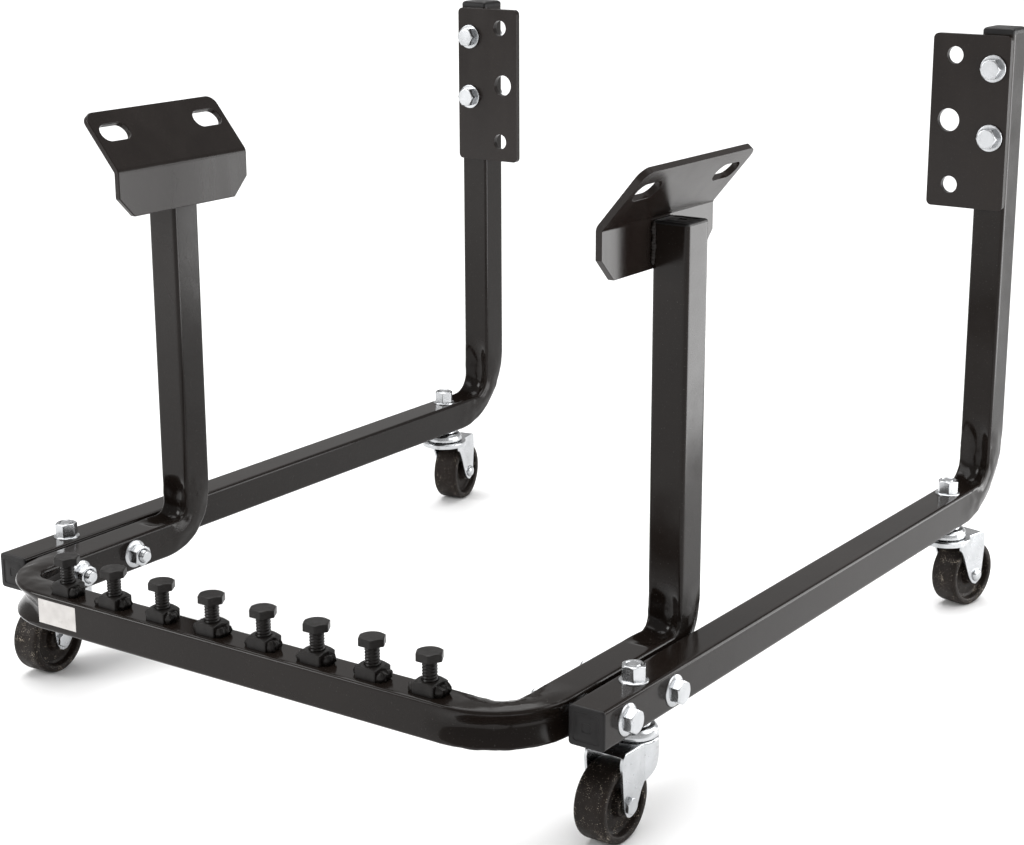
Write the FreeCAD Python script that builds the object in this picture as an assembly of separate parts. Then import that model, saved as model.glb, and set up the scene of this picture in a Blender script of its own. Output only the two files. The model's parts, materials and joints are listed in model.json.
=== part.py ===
import FreeCAD, Part
import math
import os
from FreeCAD import Vector

# Rolling cradle stand for an engine: two side rails that bend up into tall rear posts,
# a front tube that bends back and up into two short front posts, and four stem casters.
# Millimetres. +X is the stand's right, +Y its back, +Z up. The origin is on the floor,
# in the middle of the stand.

# Overall
LENGTH = 642.0
WIDTH_OVER_RAILS = 510.0

# One-inch square tube
TUBE = 25.4
WALL = 2.1
TUBE_CORNER = 2.3
TUBE_BORE = TUBE - 2 * WALL

# Heights above the floor
RAIL_BOTTOM = 69.0
RAIL_TOP = RAIL_BOTTOM + TUBE
RAIL_MIDDLE = RAIL_BOTTOM + TUBE / 2
REAR_POST_TOP = 441.0
FRONT_POST_TOP = 356.5

# Across the stand, from its centre line
RAIL_OUTER_X = WIDTH_OVER_RAILS / 2
RAIL_INNER_X = RAIL_OUTER_X - TUBE
RAIL_X = RAIL_OUTER_X - TUBE / 2
SPACER_T = 3.5
ARM_OUTER_X = RAIL_INNER_X - SPACER_T
ARM_INNER_X = ARM_OUTER_X - TUBE
ARM_X = ARM_OUTER_X - TUBE / 2

# Along the stand, measured back from the front bar's front face
FRONT_Y = -LENGTH / 2
BAR_Y = FRONT_Y + TUBE / 2
RAIL_FRONT_Y = FRONT_Y + 46.0
SIDE_BOLT_Y = (FRONT_Y + 69.5, FRONT_Y + 123.5)
FRONT_STEM_Y = FRONT_Y + 97.0
FRONT_POST_Y = FRONT_Y + 192.5
REAR_STEM_Y = FRONT_Y + 556.0
REAR_POST_Y = FRONT_Y + 618.0
REAR_FACE_Y = REAR_POST_Y + TUBE / 2

# Bends: outer and inner radius of each
RAIL_BEND = (63.5, 16.0)
BAR_BEND = (60.0, 12.0)
FOOT_BEND = (45.0, 14.0)
FOOT_START_Y = FRONT_POST_Y + TUBE / 2 - FOOT_BEND[0] - 6.0

# Three-eighths inch hardware
BOLT_R = 4.76
BOLT_HOLE_R = 5.1
HEX_AF = 14.3
WASHER_R = 10.2
WASHER_T = 2.0
HEAD_T = 6.5
FLANGE_T = 1.9
NUT_T = 8.0
HEX_CHAMFER = 25
BELL_NUT_T = 7.0
BELL_NUT_FLANGE_R = 9.7
SPACER_R = 9.5
THREAD_END = 3.5

# Bell-housing plates on the rear posts
BELL_T = 4.8
BELL_W = 62.0
BELL_BOTTOM = 308.5
BELL_TOP = 440.0
BELL_CORNER = 4.0
BELL_BOLT_Z = (363.5, 415.5)
BELL_HOLE_Z = (325.6, 374.8, 424.0)
BELL_SMALL_R = 6.5
BELL_LARGE_R = 8.75
BELL_SMALL_X = 211.0
BELL_LARGE_X = 208.0

# Motor mount plates on the front posts
MOUNT_T = 4.5
MOUNT_LENGTH = 132.0
MOUNT_Y = FRONT_POST_Y - 4.0
MOUNT_BOTTOM = 328.0
MOUNT_BEND_Z = 360.0
MOUNT_LEAN = 50.0
MOUNT_FLANGE = 48.0
MOUNT_CHAMFER = 14.0
MOUNT_ROUND = 8.0
SLOT_LENGTH = 27.0
SLOT_R = 7.0
SLOT_UP = 30.0
SLOT_SPACING = 94.0

# Row of screws in nuts welded on the front bar
SCREW_COUNT = 8
SCREW_ROW = 304.6
SCREW_R = 4.85
SCREW_AF = 16.0
SCREW_HEAD_T = 5.4
SCREW_HEAD_TOP = 120.8
SCREW_LENGTH = 32.0
BAR_NUT_AF = 15.9
BAR_NUT_T = 8.3
BAR_NUT_BORE_R = 4.92
WELD_LENGTH = 11.0
WELD_OUT = 5.0
WELD_UP = 5.6

# Casters
WHEEL_R = 25.4
WHEEL_W = 22.0
TRAIL = 24.5
FORK_TOP = 60.0
FORK_T = 1.9
FORK_HALF_W = 13.7
FRONT_FORK_ROUND_R = 16.0
REAR_FORK_ROUND_R = 19.5
FORK_SKIRT_Z = 55.7

# Side outlines of the fork, from the top of its open end round the leg to the skirt: (along the trail, height)
FRONT_FORK_SIDE = (
    (28.0, 60.0), (32.0, 58.0), (33.3, 54.0), (32.3, 44.0), (30.8, 28.0), (29.6, 22.6), (27.4, 18.8),
    (24.5, 17.2), (21.4, 17.4), (18.4, 19.2), (15.2, 23.4), (11.8, 30.2), (8.4, 34.8), (3.0, 38.4),
    (-2.5, 42.2), (-8.6, 49.4), (-12.2, 53.4), (-16.0, 55.7), (-17.0, 55.7), (-17.0, 60.0),
)
REAR_FORK_SIDE = (
    (28.0, 60.0), (31.9, 58.8), (33.6, 55.4), (33.8, 47.2), (32.4, 35.1), (31.2, 24.6), (29.0, 20.0),
    (24.5, 17.8), (20.2, 19.4), (17.2, 22.6), (15.1, 26.0), (11.2, 34.8), (8.7, 40.8), (6.2, 45.6),
    (3.8, 48.8), (0.6, 51.4), (-2.0, 53.0), (-6.0, 55.7), (-20.0, 55.7), (-20.0, 60.0),
)
CUP_R = 15.8
STEM_R = 4.76
STEM_NUT_T = 10.8
STEM_NUT_FLANGE_R = 9.3
STEM_HOLE_R = 5.2
AXLE_R = 3.0
AXLE_AF = 10.0
AXLE_HEAD_T = 2.7
BALL_R = 2.2
BALL_RING_R = 11.5
BALL_COUNT = 14

# Each caster: name, side (+1 right), stem position along Y, trail direction (+1 rearward),
# and how far it has turned from straight, in degrees
CASTERS = (
    ("front_left", -1, FRONT_STEM_Y, -1, 3.0),
    ("front_right", 1, FRONT_STEM_Y, -1, -0.5),
    ("rear_left", -1, REAR_STEM_Y, 1, 11.0),
    ("rear_right", 1, REAR_STEM_Y, 1, -12.0),
)

# Label on the front bar
LABEL_SIZE = (35.0, 17.0)
LABEL_CENTRE = (-151.2, 82.7)
LABEL_T = 0.15

X_AXIS = Vector(1, 0, 0)
Y_AXIS = Vector(0, 1, 0)
Z_AXIS = Vector(0, 0, 1)


def save(name, shape):
    shape.exportStep("parts/%s.step" % name)


def group(shapes):
    return Part.makeCompound(list(shapes))


def mirror_x(shape):
    return shape.mirror(Vector(0, 0, 0), X_AXIS)


def rod(radius, start, end):
    span = end - start
    return Part.makeCylinder(radius, span.Length, start, span)


def arc(centre, radius, first, second):
    """Quarter circle about centre, from the direction first to the direction second."""
    middle = (first + second).normalize()
    points = [centre + d * radius for d in (first, middle, second)]
    return Part.Arc(*points).toShape()


def l_profile(size, reach, rise, bend, corner):
    """L-shaped tube outline in a flat (s, t) plane, turned by a bend (outer, inner radius)."""
    outer, inner = bend
    s_dir = Vector(1, 0, 0)
    t_dir = Vector(0, 1, 0)
    inside = reach - size
    edges = [
        Part.makeLine(Vector(0, 0, 0), Vector(reach - outer, 0, 0)),
        arc(Vector(reach - outer, outer, 0), outer, -t_dir, s_dir),
        Part.makeLine(Vector(reach, outer, 0), Vector(reach, rise, 0)),
        Part.makeLine(Vector(reach, rise, 0), Vector(inside, rise, 0)),
        Part.makeLine(Vector(inside, rise, 0), Vector(inside, size + inner, 0)),
        arc(Vector(inside - inner, size + inner, 0), inner, s_dir, -t_dir),
        Part.makeLine(Vector(inside - inner, size, 0), Vector(0, size, 0)),
        Part.makeLine(Vector(0, size, 0), Vector(0, 0, 0)),
    ]
    solid = Part.Face(Part.Wire(edges)).extrude(Vector(0, 0, size))
    return round_long_edges(solid, size, rise, corner)


def round_long_edges(solid, size, rise, corner):
    """Round the edges that run along the tube, and leave its two cut ends square."""
    chosen = []
    for edge in solid.Edges:
        low, high = edge.ParameterRange
        middle = edge.valueAt((low + high) / 2)
        on_side = middle.z < 0.01 or middle.z > size - 0.01
        if on_side and middle.x > 0.01 and middle.y < rise - 0.01:
            chosen.append(edge)
    return solid.makeFillet(corner, chosen)


def place(shape, origin, s_dir, t_dir):
    """Carry a shape from the (s, t) plane to the place where s and t point along two axes."""
    n_dir = s_dir.cross(t_dir)
    matrix = FreeCAD.Matrix(
        s_dir.x, t_dir.x, n_dir.x, origin.x,
        s_dir.y, t_dir.y, n_dir.y, origin.y,
        s_dir.z, t_dir.z, n_dir.z, origin.z,
        0, 0, 0, 1)
    return shape.transformGeometry(matrix)


def l_tube(origin, s_dir, t_dir, reach, rise, bend):
    """Outer skin and hollow of one bent length of tube."""
    outer = l_profile(TUBE, reach, rise, bend, TUBE_CORNER)
    hollow_bend = (bend[0] - WALL, bend[1] + WALL)
    hollow = l_profile(TUBE_BORE, reach - WALL, rise - WALL, hollow_bend, TUBE_CORNER - WALL)
    hollow.translate(Vector(0, WALL, WALL))
    return place(outer, origin, s_dir, t_dir), place(hollow, origin, s_dir, t_dir)


def side_bolt_holes():
    start = ARM_INNER_X - 5
    end = RAIL_OUTER_X + 5
    return [rod(BOLT_HOLE_R, Vector(start, y, RAIL_MIDDLE), Vector(end, y, RAIL_MIDDLE))
            for y in SIDE_BOLT_Y]


def right_rail():
    origin = Vector(RAIL_INNER_X, RAIL_FRONT_Y, RAIL_BOTTOM)
    reach = REAR_FACE_Y - RAIL_FRONT_Y
    rise = REAR_POST_TOP - RAIL_BOTTOM
    outer, hollow = l_tube(origin, Y_AXIS, Z_AXIS, reach, rise, RAIL_BEND)
    cuts = side_bolt_holes()
    for y in (FRONT_STEM_Y, REAR_STEM_Y):
        middle = Vector(RAIL_X, y, RAIL_MIDDLE)
        cuts.append(rod(STEM_HOLE_R, middle - Z_AXIS * TUBE, middle + Z_AXIS * TUBE))
    for z in BELL_BOLT_Z:
        middle = Vector(RAIL_X, REAR_POST_Y, z)
        cuts.append(rod(BOLT_HOLE_R, middle - Y_AXIS * TUBE, middle + Y_AXIS * TUBE))
    return outer.cut([hollow] + cuts)


def screw_x():
    step = SCREW_ROW / (SCREW_COUNT - 1)
    return [-SCREW_ROW / 2 + step * i for i in range(SCREW_COUNT)]


def front_cradle():
    """Front bar, its two arms and its two posts, bent from one length of tube."""
    origin = Vector(0, FRONT_Y, RAIL_BOTTOM)
    bar = l_tube(origin, X_AXIS, Y_AXIS, ARM_OUTER_X, FOOT_START_Y - FRONT_Y, BAR_BEND)
    foot_origin = Vector(ARM_INNER_X, FOOT_START_Y, RAIL_BOTTOM)
    foot_reach = FRONT_POST_Y + TUBE / 2 - FOOT_START_Y
    foot = l_tube(foot_origin, Y_AXIS, Z_AXIS, foot_reach, FRONT_POST_TOP - RAIL_BOTTOM, FOOT_BEND)
    skins = [bar[0], foot[0], mirror_x(bar[0]), mirror_x(foot[0])]
    hollows = [bar[1], foot[1], mirror_x(bar[1]), mirror_x(foot[1])]
    holes = side_bolt_holes()
    holes += [mirror_x(hole) for hole in side_bolt_holes()]
    for x in screw_x():
        holes.append(rod(SCREW_R + 0.4, Vector(x, BAR_Y, RAIL_TOP - 6), Vector(x, BAR_Y, RAIL_TOP + 2)))
    skin = skins[0].fuse(skins[1:]).removeSplitter()
    return skin.cut(hollows + holes)


def square_plug(centre, outward, rim_t, crown, depth):
    """Push-in tube plug: a rim the size of the tube, a bevelled crown and a ribbed shank."""
    half = TUBE / 2
    rim = Part.makeBox(TUBE, TUBE, rim_t, Vector(-half, -half, 0))
    rim = rim.makeFillet(TUBE_CORNER, [e for e in rim.Edges if abs(e.tangentAt(0).z) > 0.9])
    top = [e for e in rim.Edges if min(v.Z for v in e.Vertexes) > rim_t - 0.01]
    rim = rim.makeChamfer(crown, top)
    side = TUBE_BORE - 0.4
    shank = Part.makeBox(side, side, depth, Vector(-side / 2, -side / 2, -depth))
    inner = side - 3.0
    shank = shank.cut(Part.makeBox(inner, inner, depth - 1.5, Vector(-inner / 2, -inner / 2, -depth)))
    plug = rim.fuse(shank).removeSplitter()
    plug.Placement = FreeCAD.Placement(centre, FreeCAD.Rotation(Z_AXIS, outward))
    return plug


def plugs():
    rear = square_plug(Vector(RAIL_X, REAR_POST_Y, REAR_POST_TOP), Z_AXIS, 4.5, 2.2, 14)
    rail_end = square_plug(Vector(RAIL_X, RAIL_FRONT_Y, RAIL_MIDDLE), -Y_AXIS, 1.8, 1.0, 12)
    front = square_plug(Vector(ARM_X, FRONT_POST_Y, FRONT_POST_TOP), Z_AXIS, 1.8, 1.0, 12)
    for name, right in (("rear_post_plug", rear), ("rail_end_plug", rail_end), ("front_post_plug", front)):
        save("right_" + name, right)
        save("left_" + name, mirror_x(right))


def hexagon(across_flats, height, start, outward, chamfer):
    """Hexagonal prism with its outer corners turned to a chamfer."""
    return chamfered_prism(6, 0, across_flats, height, start, outward, chamfer)


def chamfered_prism(sides, first_angle, across_flats, height, start, outward, chamfer):
    flat_r = across_flats / 2
    corner_r = flat_r / math.cos(math.pi / sides)
    angles = [math.radians(first_angle + 360 * i / sides) for i in range(sides)]
    points = [Vector(corner_r * math.cos(a), corner_r * math.sin(a), 0) for a in angles]
    prism = Part.Face(Part.makePolygon(points + [points[0]])).extrude(Vector(0, 0, height))
    rise = (corner_r - flat_r) * math.tan(math.radians(chamfer))
    cone = Part.makeCone(corner_r + 0.2, flat_r * 0.96, rise + 0.6, Vector(0, 0, height - rise - 0.6))
    body = Part.makeCylinder(corner_r + 0.2, height - rise - 0.6)
    prism = prism.common(cone.fuse(body))
    prism.Placement = FreeCAD.Placement(start, FreeCAD.Rotation(Z_AXIS, outward))
    return prism


def flange_disc(radius, thickness, start, outward):
    """Washer face of a flanged bolt or nut, a little domed."""
    disc = Part.makeCylinder(radius, thickness * 0.45)
    dome = Part.makeCone(radius, radius * 0.82, thickness * 0.55, Vector(0, 0, thickness * 0.45))
    disc = disc.fuse(dome)
    disc.Placement = FreeCAD.Placement(start, FreeCAD.Rotation(Z_AXIS, outward))
    return disc


def flange_nut(base, outward, flange_r, nut_t, bore_r):
    flange = flange_disc(flange_r, FLANGE_T, base, outward)
    body = hexagon(HEX_AF, nut_t, base + outward * FLANGE_T * 0.6, outward, HEX_CHAMFER)
    bore = rod(bore_r, base - outward, base + outward * (nut_t + 5))
    return flange.fuse(body).cut(bore).removeSplitter()


def flange_bolt(base, outward, length):
    flange = flange_disc(WASHER_R, FLANGE_T, base, outward)
    head = hexagon(HEX_AF, HEAD_T, base + outward * FLANGE_T * 0.6, outward, HEX_CHAMFER)
    shank = rod(BOLT_R, base - outward * length, base + outward * 2)
    return flange.fuse([head, shank]).removeSplitter()


def side_fasteners():
    """Flanged bolts from outside, through rail, spacer and arm, with flanged nuts inside."""
    length = 2 * TUBE + SPACER_T + FLANGE_T * 0.6 + NUT_T + THREAD_END
    bolts = []
    spacers = []
    nuts = []
    for y in SIDE_BOLT_Y:
        outside = Vector(RAIL_OUTER_X, y, RAIL_MIDDLE)
        inside = Vector(ARM_INNER_X, y, RAIL_MIDDLE)
        gap_start = Vector(ARM_OUTER_X, y, RAIL_MIDDLE)
        gap_end = Vector(RAIL_INNER_X, y, RAIL_MIDDLE)
        bolts.append(flange_bolt(outside, X_AXIS, length))
        nuts.append(flange_nut(inside, -X_AXIS, WASHER_R, NUT_T, BOLT_R + 0.02))
        spacers.append(rod(SPACER_R, gap_start, gap_end).cut(rod(BOLT_R + 0.2, inside, outside)))
    for name, pieces in (("side_bolts", bolts), ("side_spacers", spacers), ("side_nuts", nuts)):
        save(name, group(pieces + [mirror_x(piece) for piece in pieces]))


def right_bell_plate():
    low = Vector(RAIL_OUTER_X - BELL_W, REAR_POST_Y - TUBE / 2 - BELL_T, BELL_BOTTOM)
    plate = Part.makeBox(BELL_W, BELL_T, BELL_TOP - BELL_BOTTOM, low)
    upright = [e for e in plate.Edges if abs(e.tangentAt(0).y) > 0.9]
    plate = plate.makeFillet(BELL_CORNER, upright)
    holes = [(RAIL_X, z, BOLT_HOLE_R) for z in BELL_BOLT_Z]
    holes += [(BELL_SMALL_X, BELL_HOLE_Z[0], BELL_SMALL_R)]
    holes += [(BELL_LARGE_X, BELL_HOLE_Z[1], BELL_LARGE_R)]
    holes += [(BELL_SMALL_X, BELL_HOLE_Z[2], BELL_SMALL_R)]
    cuts = [rod(r, Vector(x, low.y - 2, z), Vector(x, low.y + BELL_T + 2, z)) for x, z, r in holes]
    return plate.cut(cuts)


def bell_fasteners():
    """Hexagon bolts and washers on the plate's face, nuts behind the post."""
    face_y = REAR_POST_Y - TUBE / 2 - BELL_T
    length = FRONT_Y + LENGTH - face_y + WASHER_T
    bolts = []
    washers = []
    nuts = []
    for z in BELL_BOLT_Z:
        face = Vector(RAIL_X, face_y, z)
        under_head = face - Y_AXIS * WASHER_T
        back = Vector(RAIL_X, REAR_FACE_Y, z)
        head = hexagon(HEX_AF, HEAD_T, under_head, -Y_AXIS, HEX_CHAMFER)
        shank = rod(BOLT_R, under_head + Y_AXIS * length, under_head - Y_AXIS)
        bolts.append(head.fuse(shank).removeSplitter())
        bore = rod(BOLT_R + 0.2, face + Y_AXIS, under_head - Y_AXIS)
        washers.append(rod(WASHER_R, face, under_head).cut(bore))
        nuts.append(flange_nut(back, Y_AXIS, BELL_NUT_FLANGE_R, BELL_NUT_T, BOLT_R + 0.02))
    sets = (("bell_plate_bolts", bolts), ("bell_plate_washers", washers), ("bell_plate_nuts", nuts))
    for name, pieces in sets:
        save(name, group(pieces + [mirror_x(piece) for piece in pieces]))


def right_mount_plate():
    """Plate bent along its length: a lower flange flat on the post and an upper one leaning out."""
    lean = math.radians(MOUNT_LEAN)
    up = Vector(math.cos(lean), 0, math.sin(lean))
    start_y = MOUNT_Y - MOUNT_LENGTH / 2
    back = Vector(ARM_INNER_X, start_y, MOUNT_BEND_Z)
    turn = math.radians(90 - MOUNT_LEAN)
    inset = MOUNT_T * math.tan(turn / 2)
    front = back + Vector(-MOUNT_T, 0, inset)
    points = [
        Vector(ARM_INNER_X, start_y, MOUNT_BOTTOM),
        back,
        back + up * MOUNT_FLANGE,
        front + up * (MOUNT_FLANGE + inset),
        front,
        Vector(ARM_INNER_X - MOUNT_T, start_y, MOUNT_BOTTOM),
    ]
    points.append(points[0])
    plate = Part.Face(Part.makePolygon(points)).extrude(Vector(0, MOUNT_LENGTH, 0))
    plate = round_bend(plate, back, front)
    plate = trim_lower_corners(plate, start_y)
    plate = round_upper_corners(plate, back + up * MOUNT_FLANGE)
    normal = Vector(-up.z, 0, up.x)
    slots = [mount_slot(back + up * SLOT_UP, MOUNT_Y + side * SLOT_SPACING / 2, normal) for side in (-1, 1)]
    return plate.cut(slots)


def round_bend(plate, back, front):
    along = [e for e in plate.Edges if abs(e.tangentAt(0).y) > 0.9]
    inner = [e for e in along if (e.CenterOfMass - back).cross(Y_AXIS).Length < 0.1]
    plate = plate.makeFillet(3.0, inner)
    along = [e for e in plate.Edges if abs(e.tangentAt(0).y) > 0.9]
    outer = [e for e in along if (e.CenterOfMass - front).cross(Y_AXIS).Length < 0.1]
    return plate.makeFillet(7.0, outer)


def trim_lower_corners(plate, start_y):
    for side in (0, 1):
        y = start_y + side * MOUNT_LENGTH
        inward = MOUNT_CHAMFER * (1 - 2 * side)
        points = [Vector(ARM_INNER_X - 10, y - inward, MOUNT_BOTTOM - MOUNT_CHAMFER),
                  Vector(ARM_INNER_X - 10, y + 2 * inward, MOUNT_BOTTOM - MOUNT_CHAMFER),
                  Vector(ARM_INNER_X - 10, y - inward, MOUNT_BOTTOM + 2 * MOUNT_CHAMFER)]
        points.append(points[0])
        plate = plate.cut(Part.Face(Part.makePolygon(points)).extrude(Vector(20, 0, 0)))
    return plate


def round_upper_corners(plate, tip):
    corners = [e for e in plate.Edges
               if abs(e.tangentAt(0).y) < 0.1 and (e.CenterOfMass - tip).dot(Z_AXIS) > -4
               and abs(e.Length - MOUNT_T) < 0.05]
    return plate.makeFillet(MOUNT_ROUND, corners)


def mount_slot(centre, y, normal):
    half = SLOT_LENGTH / 2 - SLOT_R
    middle = Vector(centre.x, y, centre.z)
    start = middle - normal * 10
    ends = [rod(SLOT_R, start + Y_AXIS * d, start + Y_AXIS * d + normal * 20) for d in (-half, half)]
    across = normal.cross(Y_AXIS)
    corner = start - Y_AXIS * half - across * SLOT_R
    points = [corner, corner + Y_AXIS * 2 * half, corner + Y_AXIS * 2 * half + across * 2 * SLOT_R,
              corner + across * 2 * SLOT_R, corner]
    middle_block = Part.Face(Part.makePolygon(points)).extrude(normal * 20)
    return middle_block.fuse(ends)


def mount_welds():
    """Fillet welds up the front and back edges of each front post, against the mount plate."""
    leg = 4.0
    right = []
    for side in (-1, 1):
        y = FRONT_POST_Y + side * TUBE / 2
        corner = Vector(ARM_INNER_X, y, MOUNT_BOTTOM + 3)
        points = [corner, corner + X_AXIS * leg, corner + Y_AXIS * side * leg, corner]
        right.append(Part.Face(Part.makePolygon(points)).extrude(Vector(0, 0, 27)))
    save("mount_plate_welds", group(right + [mirror_x(weld) for weld in right]))


def bar_nuts():
    """Square nuts in line with the front bar, each welded to it along both ends."""
    nuts = []
    beads = []
    for x in screw_x():
        base = Vector(x, BAR_Y, RAIL_TOP)
        nut = chamfered_prism(4, 45, BAR_NUT_AF, BAR_NUT_T, base, Z_AXIS, 25)
        nuts.append(nut.cut(rod(BAR_NUT_BORE_R, base - Z_AXIS, base + Z_AXIS * (BAR_NUT_T + 1))))
        for way in (-1, 1):
            beads.append(weld_bead(base, way))
    save("bar_nuts", group(nuts))
    save("bar_nut_welds", group(beads))


def weld_bead(base, way):
    """Triangular bead against one end of a bar nut."""
    start = base + X_AXIS * way * BAR_NUT_AF / 2 - Y_AXIS * WELD_LENGTH / 2
    points = [start, start + X_AXIS * way * WELD_OUT, start + Z_AXIS * WELD_UP, start]
    return Part.Face(Part.makePolygon(points)).extrude(Y_AXIS * WELD_LENGTH)


def screws():
    under_head = SCREW_HEAD_TOP - SCREW_HEAD_T
    for number, x in enumerate(screw_x(), start=1):
        head = hexagon(SCREW_AF, SCREW_HEAD_T, Vector(x, BAR_Y, under_head), Z_AXIS, 30)
        shank = rod(SCREW_R, Vector(x, BAR_Y, under_head - SCREW_LENGTH), Vector(x, BAR_Y, under_head + 1))
        save("bar_screw_%d" % number, head.fuse(shank).removeSplitter())


def label():
    wide, high = LABEL_SIZE
    x, z = LABEL_CENTRE
    low = Vector(x - wide / 2, FRONT_Y - LABEL_T, z - high / 2)
    save("blank_label", Part.makeBox(wide, LABEL_T, high, low))


def stem(stem_top):
    """Threaded stem with a domed bearing cup above the fork and a riveted head below it."""
    bore_r = STEM_R - 1
    hub_r = BALL_RING_R - BALL_R - 0.9
    roof = 2 * BALL_R + 0.3
    cup_profile = [
        (bore_r, 0.6), (bore_r, 9.0), (10.6, 9.0), (10.9, 7.5), (13.4, 6.9), (15.2, 5.2), (CUP_R, 2.6),
        (CUP_R, 0.6), (CUP_R - 1.2, 0.6), (CUP_R - 1.4, roof), (hub_r, roof), (hub_r, 0.6),
    ]
    points = [Vector(r, 0, FORK_TOP + z) for r, z in cup_profile]
    cup = Part.Face(Part.makePolygon(points + [points[0]])).revolve(Vector(0, 0, 0), Z_AXIS, 360)
    shaft = rod(STEM_R, Vector(0, 0, FORK_TOP - 4.5), Vector(0, 0, stem_top))
    rivet = Part.makeCone(5.6, 7.6, 2.0, Vector(0, 0, FORK_TOP - FORK_T - 2.3))
    return shaft.fuse([cup, rivet]).removeSplitter()


def balls():
    step = 2 * math.pi / BALL_COUNT
    z = FORK_TOP + BALL_R
    centres = [Vector(BALL_RING_R * math.cos(i * step), BALL_RING_R * math.sin(i * step), z)
               for i in range(BALL_COUNT)]
    return group(Part.makeSphere(BALL_R, centre) for centre in centres)


def front_fork():
    """Pressed fork: a top plate round under the stem, whose skirt runs down into two legs."""
    outline = fork_arm(0.0).fuse(upright_disc(FRONT_FORK_ROUND_R, 0.0, FORK_TOP))
    hollow = fork_arm(FORK_T).fuse(upright_disc(FRONT_FORK_ROUND_R - FORK_T, 0.0, FORK_TOP))
    return pressed_fork(FRONT_FORK_SIDE, outline, hollow)


def rear_fork():
    """Pressed fork whose round top plate stands out past the legs, with a short lip under its edge."""
    disc = upright_disc(REAR_FORK_ROUND_R, FORK_SKIRT_Z, FORK_TOP)
    under = upright_disc(REAR_FORK_ROUND_R - FORK_T, 40.0, FORK_TOP)
    behind = Part.makeBox(60, 30, 60, Vector(-30, -27, 0))
    return pressed_fork(REAR_FORK_SIDE, fork_arm(0.0).fuse(disc), fork_arm(FORK_T).fuse(under.common(behind)))


def pressed_fork(side, outline, hollow):
    shell = side_slab(side, REAR_FORK_ROUND_R + 1).common(outline)
    hollow.translate(Vector(0, 0, -FORK_T))
    shell = shell.cut(hollow)
    stem_hole = rod(STEM_R + 0.3, Vector(0, 0, 50), Vector(0, 0, 70))
    axle_hole = rod(AXLE_R + 0.05, Vector(-30, TRAIL, WHEEL_R), Vector(30, TRAIL, WHEEL_R))
    return shell.cut([stem_hole, axle_hole]).removeSplitter()


def upright_disc(radius, low, high):
    return Part.makeCylinder(radius, high - low, Vector(0, 0, low))


def fork_arm(inset):
    """Block over the wheel, as wide as the fork, drawn in by inset."""
    half = FORK_HALF_W - inset
    return Part.makeBox(2 * half, 2 * TRAIL, FORK_TOP, Vector(-half, 0, 0))


def side_slab(outline, half_width):
    points = [Vector(-half_width, t, z) for t, z in outline]
    return Part.Face(Part.makePolygon(points + [points[0]])).extrude(Vector(2 * half_width, 0, 0))


def bolted_axle():
    centre = Vector(0, TRAIL, WHEEL_R)
    outside = centre + X_AXIS * FORK_HALF_W
    inside = centre - X_AXIS * FORK_HALF_W
    head = hexagon(AXLE_AF, AXLE_HEAD_T, outside, X_AXIS, 25)
    nut = hexagon(AXLE_AF, AXLE_HEAD_T, inside, -X_AXIS, 25)
    return rod(AXLE_R, inside - X_AXIS, outside + X_AXIS).fuse([head, nut]).removeSplitter()


def riveted_axle():
    centre = Vector(0, TRAIL, WHEEL_R)
    pieces = []
    for way in (-1, 1):
        outward = X_AXIS * way
        face = centre + outward * FORK_HALF_W
        button = Part.makeCone(5.0, 3.2, AXLE_HEAD_T, face, outward)
        pieces.append(button)
    shaft = rod(AXLE_R, centre - X_AXIS * FORK_HALF_W, centre + X_AXIS * FORK_HALF_W)
    return shaft.fuse(pieces).removeSplitter()


def bushing():
    centre = Vector(0, TRAIL, WHEEL_R)
    half = X_AXIS * (FORK_HALF_W - FORK_T - 0.3)
    outer = rod(AXLE_R + 1.4, centre - half, centre + half)
    return outer.cut(rod(AXLE_R + 0.08, centre - half * 2, centre + half * 2))


def wheel():
    """Solid wheel: a rounded tread, dished side faces and a plain hub."""
    half = WHEEL_W / 2
    hub_half = FORK_HALF_W - FORK_T - 0.4
    web_half = half - 5.8
    profile = [
        (AXLE_R + 1.4, hub_half), (8.0, hub_half), (8.8, web_half + 0.6), (19.6, web_half), (20.8, half),
        (WHEEL_R - 1.4, half), (WHEEL_R - 0.3, half - 1.1), (WHEEL_R, half - 3.0),
    ]
    points = [Vector(x, 0, r) for r, x in profile]
    points += [Vector(-x, 0, r) for r, x in reversed(profile)]
    body = Part.Face(Part.makePolygon(points + [points[0]])).revolve(Vector(0, 0, 0), X_AXIS, 360)
    body.translate(Vector(0, TRAIL, WHEEL_R))
    return body


def caster(name, side, stem_y, way, turned, axle, fork):
    stem_top = RAIL_TOP + STEM_NUT_T
    heading = turned if way > 0 else turned + 180
    spot = FreeCAD.Placement(Vector(side * RAIL_X, stem_y, 0), FreeCAD.Rotation(Z_AXIS, heading))
    pieces = {"stem": stem(stem_top), "balls": balls(), "fork": fork, "axle": axle,
              "bushing": bushing(), "wheel": wheel()}
    for piece, shape in pieces.items():
        shape.Placement = spot.multiply(shape.Placement)
        save("caster_%s_%s" % (name, piece), shape)


def stem_nuts():
    height = STEM_NUT_T - FLANGE_T * 0.6
    nuts = []
    for _, side, y, _, _ in CASTERS:
        base = Vector(side * RAIL_X, y, RAIL_TOP)
        nuts.append(flange_nut(base, Z_AXIS, STEM_NUT_FLANGE_R, height, STEM_R + 0.02))
    save("stem_nuts", group(nuts))


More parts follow.
